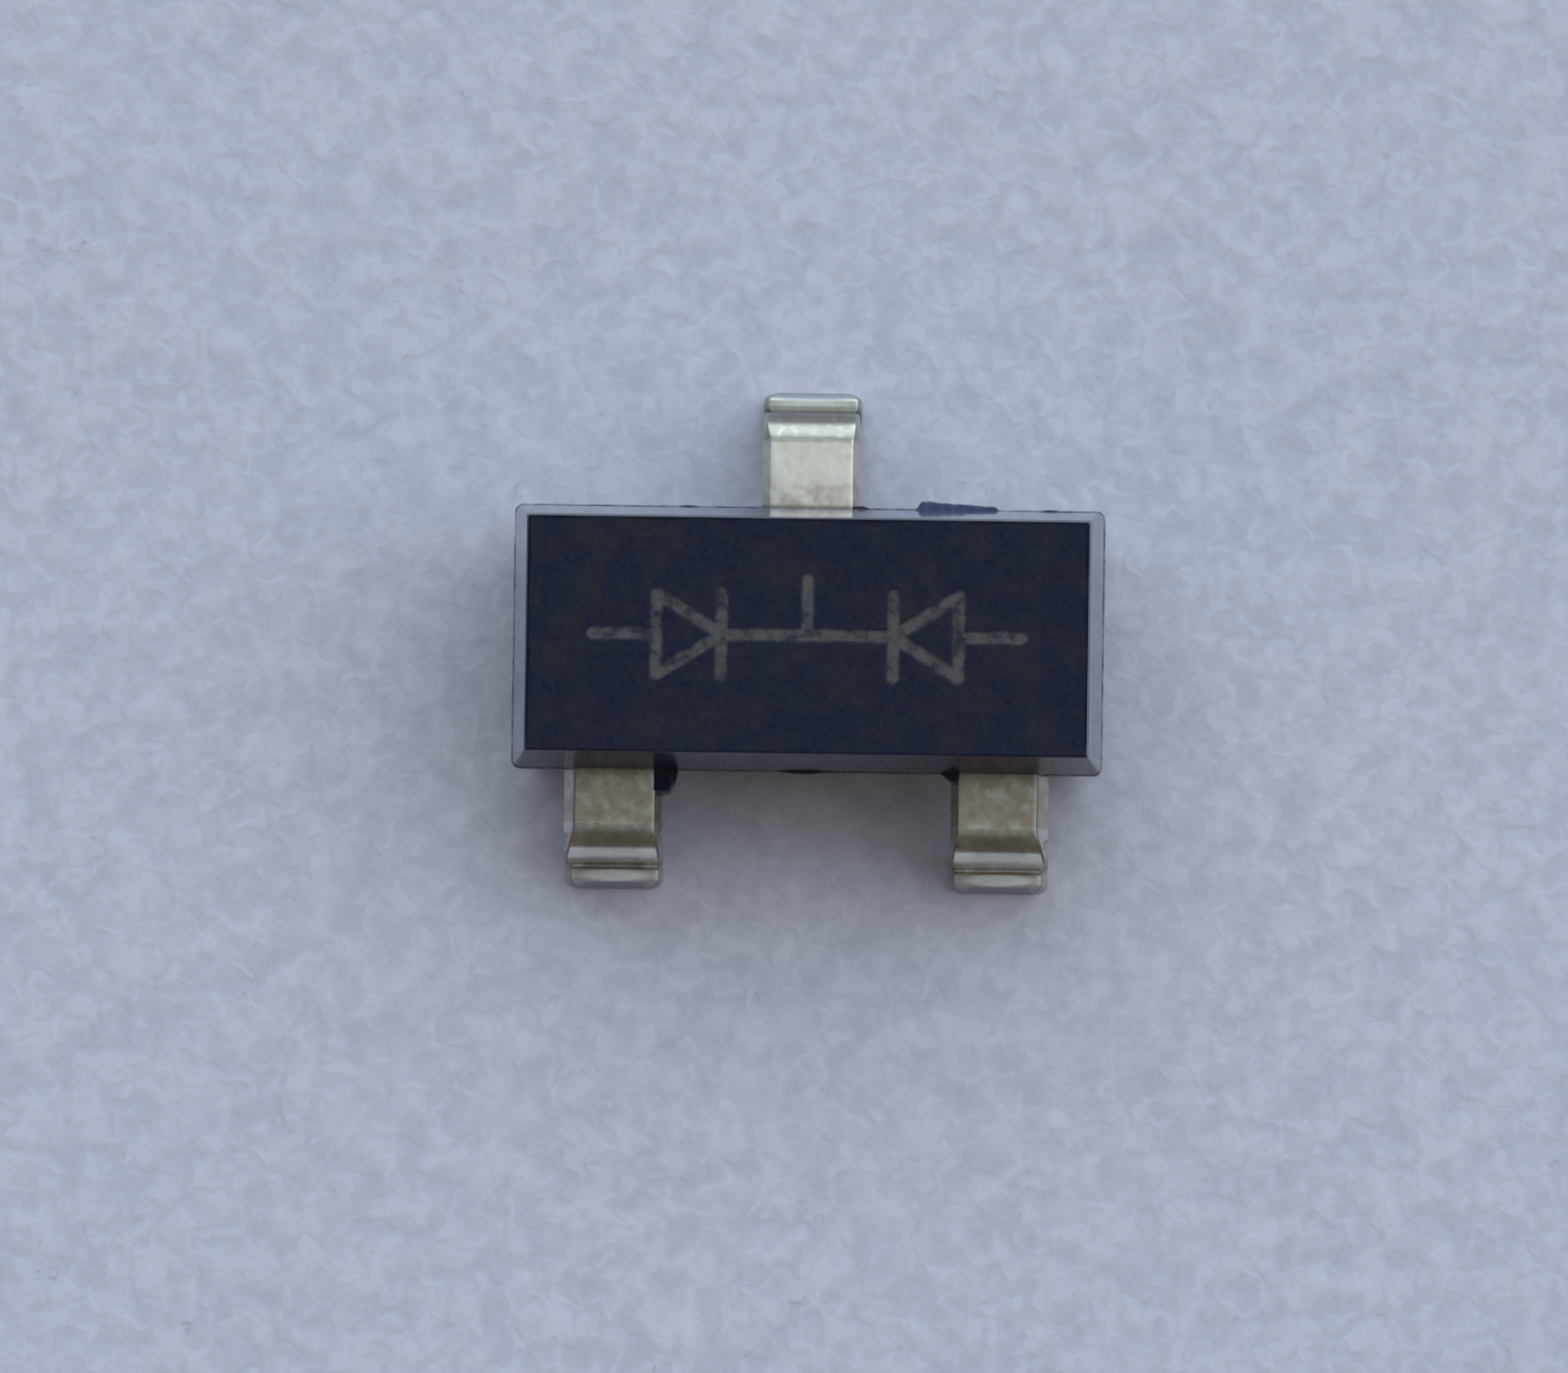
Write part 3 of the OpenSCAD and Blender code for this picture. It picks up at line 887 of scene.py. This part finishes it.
def strip_section(left, right, thickness, slants, roll, burr):
    """Outline of the strip's section, wider below: across the strip, through its thickness."""
    half = thickness / 2
    upper_left, upper_right = left - slants[0], right - slants[1]
    below, above = left + right - 2 * burr, upper_left + upper_right - 2 * roll
    return [
        *((-left + burr + below * n / BOTTOM_STEPS, -half) for n in range(BOTTOM_STEPS)),
        *quarter_round(right - burr, -half + burr, burr, -RIGHT_ANGLE, BURR_STEPS),
        (right, -half + burr),
        *quarter_round(upper_right - roll, half - roll, roll, 0.0, ROLL_STEPS),
        *((upper_right - roll - above * n / TOP_STEPS, half) for n in range(TOP_STEPS)),
        *quarter_round(-upper_left + roll, half - roll, roll, RIGHT_ANGLE, ROLL_STEPS),
        (-upper_left, half - roll),
        *quarter_round(-left + burr, -half + burr, burr, 2 * RIGHT_ANGLE, BURR_STEPS),
    ]


def lead_path(leads, inner_end, step_at):
    """Stations along the mid-plane: outward distance, height, slope, stretch. Also the start of the bend."""
    slope, half = leads.riser_angle, leads.thickness / 2
    radius, outer_radius = leads.bend_radius + half, leads.bend_radius + leads.thickness
    upper_centre, foot_start = leads.upper_face - outer_radius, leads.tip - leads.foot
    turns = [slope * n / BEND_STEPS for n in range(BEND_STEPS + 1)]
    bend = [(radius * math.sin(turn), radius * math.cos(turn), turn) for turn in turns]
    run, rise = bend[-1][:2]
    drop = upper_centre + rise - (outer_radius - rise)
    bend_start = foot_start - (2 * run + drop / math.tan(slope))
    level = leads.upper_face - half
    path = [(inner_end, level, 0.0, "inside"), (step_at, level, 0.0, "inside")]
    for n in range(SHOULDER_STEPS):
        path.append((step_at + (bend_start - step_at) * n / SHOULDER_STEPS, level, 0.0, "shoulder"))
    path += [(bend_start + x, upper_centre + z, turn, "upper_bend") for x, z, turn in bend]
    start, end = path[-1][:2], (foot_start - run, outer_radius - rise)
    for n in range(1, RISER_STEPS):
        out, height = (a + (b - a) * n / RISER_STEPS for a, b in zip(start, end))
        path.append((out, height, slope, "riser"))
    path += [(foot_start - x, outer_radius - z, turn, "lower_bend") for x, z, turn in reversed(bend)]
    for n in range(1, FOOT_STEPS + 1):
        path.append((foot_start + (leads.foot - leads.foot_corner) * n / FOOT_STEPS, half, 0.0, "foot"))
    for n in range(1, FOOT_STEPS + 1):
        turn = RIGHT_ANGLE * n / FOOT_STEPS
        path.append((leads.tip - leads.foot_corner * (1 - math.sin(turn)), half, 0.0, "tip"))
    return path, bend_start


def edge_slants(slope, stretch, look, leads):
    """How far the strip's upper edges lie inside its lower ones, on the left and on the right."""
    if stretch == "inside":
        return 0.0, 0.0
    upright = FOOT_UPRIGHT if stretch in ("foot", "tip") else 0.0
    if stretch == "lower_bend":
        upright = FOOT_UPRIGHT * (1.0 - slope / leads.riser_angle)
    upright = max(BEND_UPRIGHT * math.sin(slope), upright)
    return [slant * (1.0 - upright) for slant in look.slants]


def wear_at(out, slope, stretch, look, leads, wall, bend_start):
    """Wear and painted shade of one station: rubbed, tarnish with painted shade, painted shade, width of the
    painted shade, past the painted shade, along the foot.
    """
    rub_start = bend_start - look.rub_reach * leads.burnish
    rubbed = 0.0 if stretch in ("inside", "foot", "tip") else look.rub
    if stretch == "shoulder":
        rubbed *= smoothstep(rub_start - RUB_SOFT_EDGE, rub_start, out)
    if stretch == "lower_bend":
        rubbed *= slope / leads.riser_angle
    along_foot = (out + leads.thickness / 2 * math.sin(slope) - (leads.tip - leads.foot)) / leads.foot
    past_stain = 0.0
    if stretch in ("lower_bend", "foot", "tip"):
        edge = look.stain_reach
        past_stain = smoothstep(edge - STAIN_SOFT_EDGE, edge + STAIN_SOFT_EDGE, along_foot)
    width = look.stain_width + FOOT_WIDENING * smoothstep(WIDENING_FROM, 0.0, along_foot)
    if stretch in ("inside", "shoulder"):
        # Painted shadow: a dark line where the lead meets the resin, and a darker line where the rub starts.
        at_root = look.root_stain * (1.0 - smoothstep(0.5 * ROOT_LINE, 1.5 * ROOT_LINE, out - wall))
        at_bend = look.line_stain * smoothstep(rub_start - leads.burnish, rub_start, out)
        stained, width = max(at_root, at_bend), FULL_WIDTH
    elif stretch in ("upper_bend", "riser"):
        # Painted shade over the bend and the riser, where dark reflections fall.
        onset = look.bend_stain_from
        smoked = smoothstep(0.0, 2.0 * BEND_ONSET, slope) * (1.0 - SMOKE_LOSS * smoothstep(*SMOKE_END, slope))
        stained = look.bend_stain * smoothstep(onset, onset + BEND_ONSET, slope)
        stained = max(stained, look.bend_dark * smoked)
    else:
        # Painted shade in the corner above the foot, where the riser's shade falls.
        in_corner = look.corner_stain * (0.5 + 0.5 * smoothstep(*CORNER_SLOPES, slope))
        stained = in_corner + (look.foot_stain - in_corner) * past_stain
    # Painted shade near the body; a negative root share paints light there instead.
    near_root = 1.0 - smoothstep(*ROOT_DULL_RUN, out - wall)
    dulled = (look.dull + look.root_dull * near_root) * (1.0 - rubbed) * (1.0 - past_stain)
    return rubbed, dulled, stained, width, past_stain, along_foot


def tip_cut(out, look, leads):
    """How far the tip's corners round off, how far its cut drops, and how roughly it was sheared."""
    reach = (out - (leads.tip - leads.foot_corner)) / leads.foot_corner
    round_off = TIP_BULGE * leads.foot_corner * (1 - math.sqrt(max(1 - reach * reach, 0.0)))
    slant = (out - (leads.tip - leads.cut_run)) / leads.cut_run
    drop = look.cut_drop * max(slant, 0.0) ** CUT_CURVE
    sheared = smoothstep(look.cut_from, look.cut_from + CUT_SOFT_EDGE, slant)
    return round_off, drop, COPPER_BARED if reach == 1.0 else sheared


def form_lead(lead, tin, scene):
    """Sweeps one lead from its end inside the resin out to the tip of its foot."""
    leads, body, look = scene.diode_leads, scene.diode_body, lead.look
    path, bend_start = lead_path(leads, lead.inner_end, lead.step_at)
    half_width, half, roll = leads.width / 2, leads.thickness / 2, leads.die_roll
    wall = body.width / 2 - lead.outward * body.shift
    points = []
    values = {"cut": [], "burnish": [], "stain": [], "frost": [], "dull": []}
    for out, height, slope, stretch in path:
        wear = wear_at(out, slope, stretch, look, leads, wall, bend_start)
        rubbed, dulled, stained, width, past_stain, along_foot = wear
        round_off, drop, sheared = tip_cut(out, look, leads) if stretch == "tip" else (0.0, 0.0, 0.0)
        slants = edge_slants(slope, stretch, look, leads)
        left, right = lead.inner_widths if stretch == "inside" else (half_width, half_width)
        left, right = left - round_off, right - round_off
        for across, through in strip_section(left, right, leads.thickness, slants, roll, leads.burr_round):
            aside = abs(across) / half_width
            x = lead.middle + across
            wave = smoothstep(-half, half, through) * waver(x, out, height, STRIP_WAVE)
            on_side = across > right - slants[1] - roll or across < slants[0] + roll - left
            on_roll = on_side and through > half - ROLL_SHARE * roll
            through -= drop * (through + half)
            z = height + through * math.cos(slope) + wave
            points.append((x, lead.outward * (out + through * math.sin(slope)), max(z, 0.0)))
            patch = 1.0 - smoothstep(width - STAIN_SIDE_FADE, width, aside)
            # Painted highlight: a bright patch on the foot, fading towards its edges.
            off_middle = math.hypot(aside / GLOW_WIDTH, (along_foot - GLOW_MIDDLE) / GLOW_LENGTH)
            glow = 1.0 - smoothstep(*GLOW_FADE, off_middle)
            frosted = FROST_OFF_GLOW + (1.0 - FROST_OFF_GLOW) * glow
            # Painted shade: over the patch, on the rolled edges where their highlight falls, and at the
            # foot's edges.
            stains = (
                stained * (SIDE_STAIN + (1.0 - SIDE_STAIN) * patch),
                look.edge_stain * on_roll,
                look.foot_edge_stain * past_stain * (1.0 - glow),
            )
            values["cut"].append(sheared * (1.0 - CLEAN_SIDES * smoothstep(*CLEAN_FROM, aside)))
            values["burnish"].append(rubbed)
            values["stain"].append(max(stains))
            values["frost"].append(look.frost * past_stain * frosted)
            values["dull"].append(dulled)
    ring = len(points) // len(path)
    inner_cap, tip_cap = tuple(range(ring - 1, -1, -1)), tuple(range(len(points) - ring, len(points)))
    faces = [*ring_faces(points, ring), inner_cap, tip_cap]
    if lead.outward > 0:
        faces = [face[::-1] for face in faces]
    piece = make_piece(f"{lead.node}_tinned", points, faces, tin)
    store_values(piece, values)
    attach(piece, "root")
    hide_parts(lead.node)


class DIODE_OT_gull_wing_leads(bpy.types.Operator):
    """Form the three tinned leads, with the chip paddle and bonding posts at their inner ends"""

    bl_idname = "diode.gull_wing_leads"
    bl_label = "Gull-wing leads"

    def execute(self, context):
        leads = context.scene.diode_leads
        tin = tin_plate(context.scene.diode_colours)
        paddle = (CATHODE_HIGH.x - CATHODE_LOW.x) / 2
        post = LEFT_HIGH.x + leads.pitch
        plain = leads.width / 2
        for lead in (
            Lead("cathode_lead", 0.0, 1, CATHODE_LOW.y, PADDLE_STEP, (paddle, paddle), CATHODE_LOOK),
            Lead("left_anode_lead", -leads.pitch, -1, -LEFT_HIGH.y, POST_STEP, (plain, post), LEFT_LOOK),
            Lead("right_anode_lead", leads.pitch, -1, -LEFT_HIGH.y, POST_STEP, (post, plain), RIGHT_LOOK),
        ):
            form_lead(lead, tin, context.scene)
        return {"FINISHED"}


class DIODE_OT_inner_pieces(bpy.types.Operator):
    """Finish the chips, their solder and the bond wires that the resin covers"""

    bl_idname = "diode.inner_pieces"
    bl_label = "Chips, solder and bond wires"

    def execute(self, context):
        colours = context.scene.diode_colours
        finishes = {
            "chip": sawn_silicon(colours),
            "chip_solder": solder_film(colours),
            "bond_wire": drawn_wire(colours),
        }
        for side in ("left", "right"):
            for kind, finish in finishes.items():
                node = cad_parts[f"{side}_{kind}"]
                node.data.materials.clear()
                node.data.materials.append(finish)
        return {"FINISHED"}


# Studio

# The picture's size in pixels, the middle of the body in it, and its scale at the view level
PICTURE_WIDTH = 1600
PICTURE_HEIGHT = 1401
BODY_IN_PICTURE = (825.0, 653.5)
PIXELS_PER_MM = 207.6
VIEW_LEVEL = 0.545 * MM
VIEW_DISTANCE = 90 * MM
NEAREST_VIEW = 1 * MM
FARTHEST_VIEW = 2.0
SENSOR_WIDTH = 36.0

# Radius and height of each ring of the floor
FLOOR_PROFILE = (
    (0.02, 0.0), (0.08, 0.0), (0.2, 0.0), (0.26, 0.004), (0.30, 0.015), (0.33, 0.035), (0.345, 0.06)
)
FLOOR_SIDES = 64

# How softly the light and the parts of the room run into each other, by the direction's own parts
LIGHT_SOFTNESS = math.radians(6)
LIGHT_SIDE = (-0.1, 0.55)
FRONT_TO_SIDES = (0.05, 0.35)
FRONT_TO_BACK = (-0.5, 0.3)
AROUND_TO_ABOVE = (0.82, 0.97)


def paper_floor(colours):
    """A sheet that runs flat under the diode and curls up far away all round."""
    points, faces = [(0.0, 0.0, 0.0)], []
    for radius, height in FLOOR_PROFILE:
        for n in range(FLOOR_SIDES):
            turn = 2 * math.pi * n / FLOOR_SIDES
            points.append((radius * math.cos(turn), radius * math.sin(turn), height))
    for n in range(FLOOR_SIDES):
        ahead = (n + 1) % FLOOR_SIDES
        faces.append((0, 1 + n, 1 + ahead))
        for ring in range(len(FLOOR_PROFILE) - 1):
            a, b = 1 + ring * FLOOR_SIDES, 1 + (ring + 1) * FLOOR_SIDES
            faces.append((a + n, b + n, b + ahead, a + ahead))
    floor = make_piece("paper_floor", points, faces, pale_paper(colours))


def soft_room(scene, studio):
    """A dim room with a broad band of soft light on one side of it."""
    world = bpy.data.worlds.new("studio_room")
    board = NodeBoard(world)
    direction = board.add("ShaderNodeTexCoord").outputs["Generated"]
    parts = board.add("ShaderNodeSeparateXYZ", {"Vector": direction}).outputs
    x, height = parts["X"], parts["Z"]
    level = board.add("ShaderNodeVectorMath", {0: direction, 1: (1.0, 1.0, 0.0)}, operation="MULTIPLY")
    compass = board.add("ShaderNodeVectorMath", {0: level.outputs["Vector"]}, operation="NORMALIZE")
    heading = board.add("ShaderNodeSeparateXYZ", {"Vector": compass.outputs["Vector"]}).outputs["Y"]
    aim = (math.sin(studio.light_bearing), math.cos(studio.light_bearing), 0.0)
    facing = board.add("ShaderNodeVectorMath", {0: direction, 1: aim}, operation="DOT_PRODUCT")
    low, high, soft = studio.light_low, studio.light_high, LIGHT_SOFTNESS
    rising = board.remap(height, math.sin(low - soft), math.sin(low + soft))
    falling = board.remap(height, math.sin(high - soft), math.sin(high + soft), 1.0, 0.0)
    on_side = board.remap(facing.outputs["Value"], *LIGHT_SIDE)
    share = board.product_of(board.product_of(rising, falling), on_side)
    sideways = board.remap(board.product_of(x, x), *FRONT_TO_SIDES)
    ahead = board.blend(sideways, studio.room_front, studio.room_sides)
    around = board.blend(board.remap(heading, *FRONT_TO_BACK), ahead, studio.room_back)
    room = board.blend(board.remap(height, *AROUND_TO_ABOVE), around, studio.room_above)
    bright = toned(studio.light_tint, studio.light_level)
    light = board.add("ShaderNodeBackground", {"Color": board.blend(share, room, bright)})
    board.add("ShaderNodeOutputWorld", {"Surface": light.outputs["Background"]})
    scene.world = world


def place_camera(scene, studio):
    """A camera that looks down on the diode as the picture does."""
    back = Vector((math.tan(studio.tilt_right), -math.tan(studio.tilt_front), 1.0)).normalized()
    upright = Vector((-math.sin(studio.turn), math.cos(studio.turn), 0.0))
    across = upright.cross(back).normalized()
    upright = back.cross(across)
    right_of_body = (PICTURE_WIDTH / 2 - BODY_IN_PICTURE[0]) / PIXELS_PER_MM * MM
    above_body = (BODY_IN_PICTURE[1] - PICTURE_HEIGHT / 2) / PIXELS_PER_MM * MM
    body_middle = Vector((0.0, -scene.diode_body.shift, VIEW_LEVEL))
    aim = body_middle + right_of_body * across + above_body * upright
    optics = bpy.data.cameras.new("camera")
    optics.sensor_width = SENSOR_WIDTH
    optics.lens = SENSOR_WIDTH * VIEW_DISTANCE * PIXELS_PER_MM / (PICTURE_WIDTH * MM)
    optics.clip_start = NEAREST_VIEW
    optics.clip_end = FARTHEST_VIEW
    camera = bpy.data.objects.new("camera", optics)
    turn = Matrix((across, upright, back)).transposed().to_4x4()
    camera.matrix_world = Matrix.Translation(aim + back * VIEW_DISTANCE) @ turn
    scene.collection.objects.link(camera)
    scene.camera = camera


class DIODE_OT_studio(bpy.types.Operator):
    """Set up the paper floor, the soft light and the camera"""

    bl_idname = "diode.studio"
    bl_label = "Studio"

    def execute(self, context):
        scene = context.scene
        scene.view_settings.view_transform = "Standard"
        paper_floor(scene.diode_colours)
        soft_room(scene, scene.diode_studio)
        place_camera(scene, scene.diode_studio)
        return {"FINISHED"}


class DIODE_PT_builder(bpy.types.Panel):
    """Sizes, colours and steps of the diode"""

    bl_idname = "DIODE_PT_builder"
    bl_label = "Moulded diode"
    bl_space_type = "VIEW_3D"
    bl_region_type = "UI"
    bl_category = "Diode"

    def draw(self, context):
        for group, operator in zip(SCENE_SETTINGS, OPERATORS):
            settings = getattr(context.scene, group)
            box = self.layout.box()
            for name in settings.bl_rna.properties.keys():
                if name not in ("rna_type", "name"):
                    box.prop(settings, name)
            box.operator(operator.bl_idname)


OPERATORS = (DIODE_OT_moulded_body, DIODE_OT_gull_wing_leads, DIODE_OT_inner_pieces, DIODE_OT_studio)
CLASSES = (BodySizes, LeadSizes, FinishColours, StudioSettings, *OPERATORS, DIODE_PT_builder)

SCENE_SETTINGS = {
    "diode_body": BodySizes,
    "diode_leads": LeadSizes,
    "diode_colours": FinishColours,
    "diode_studio": StudioSettings,
}


def register():
    for cls in CLASSES:
        bpy.utils.register_class(cls)
    for name, kind in SCENE_SETTINGS.items():
        setattr(bpy.types.Scene, name, PointerProperty(type=kind))


def unregister():
    for name in SCENE_SETTINGS:
        delattr(bpy.types.Scene, name)
    for cls in reversed(CLASSES):
        bpy.utils.unregister_class(cls)


def main():
    """Builds every piece in order."""
    register()
    bpy.ops.diode.moulded_body()
    bpy.ops.diode.gull_wing_leads()
    bpy.ops.diode.inner_pieces()
    bpy.ops.diode.studio()


if __name__ == "__main__":
    main()
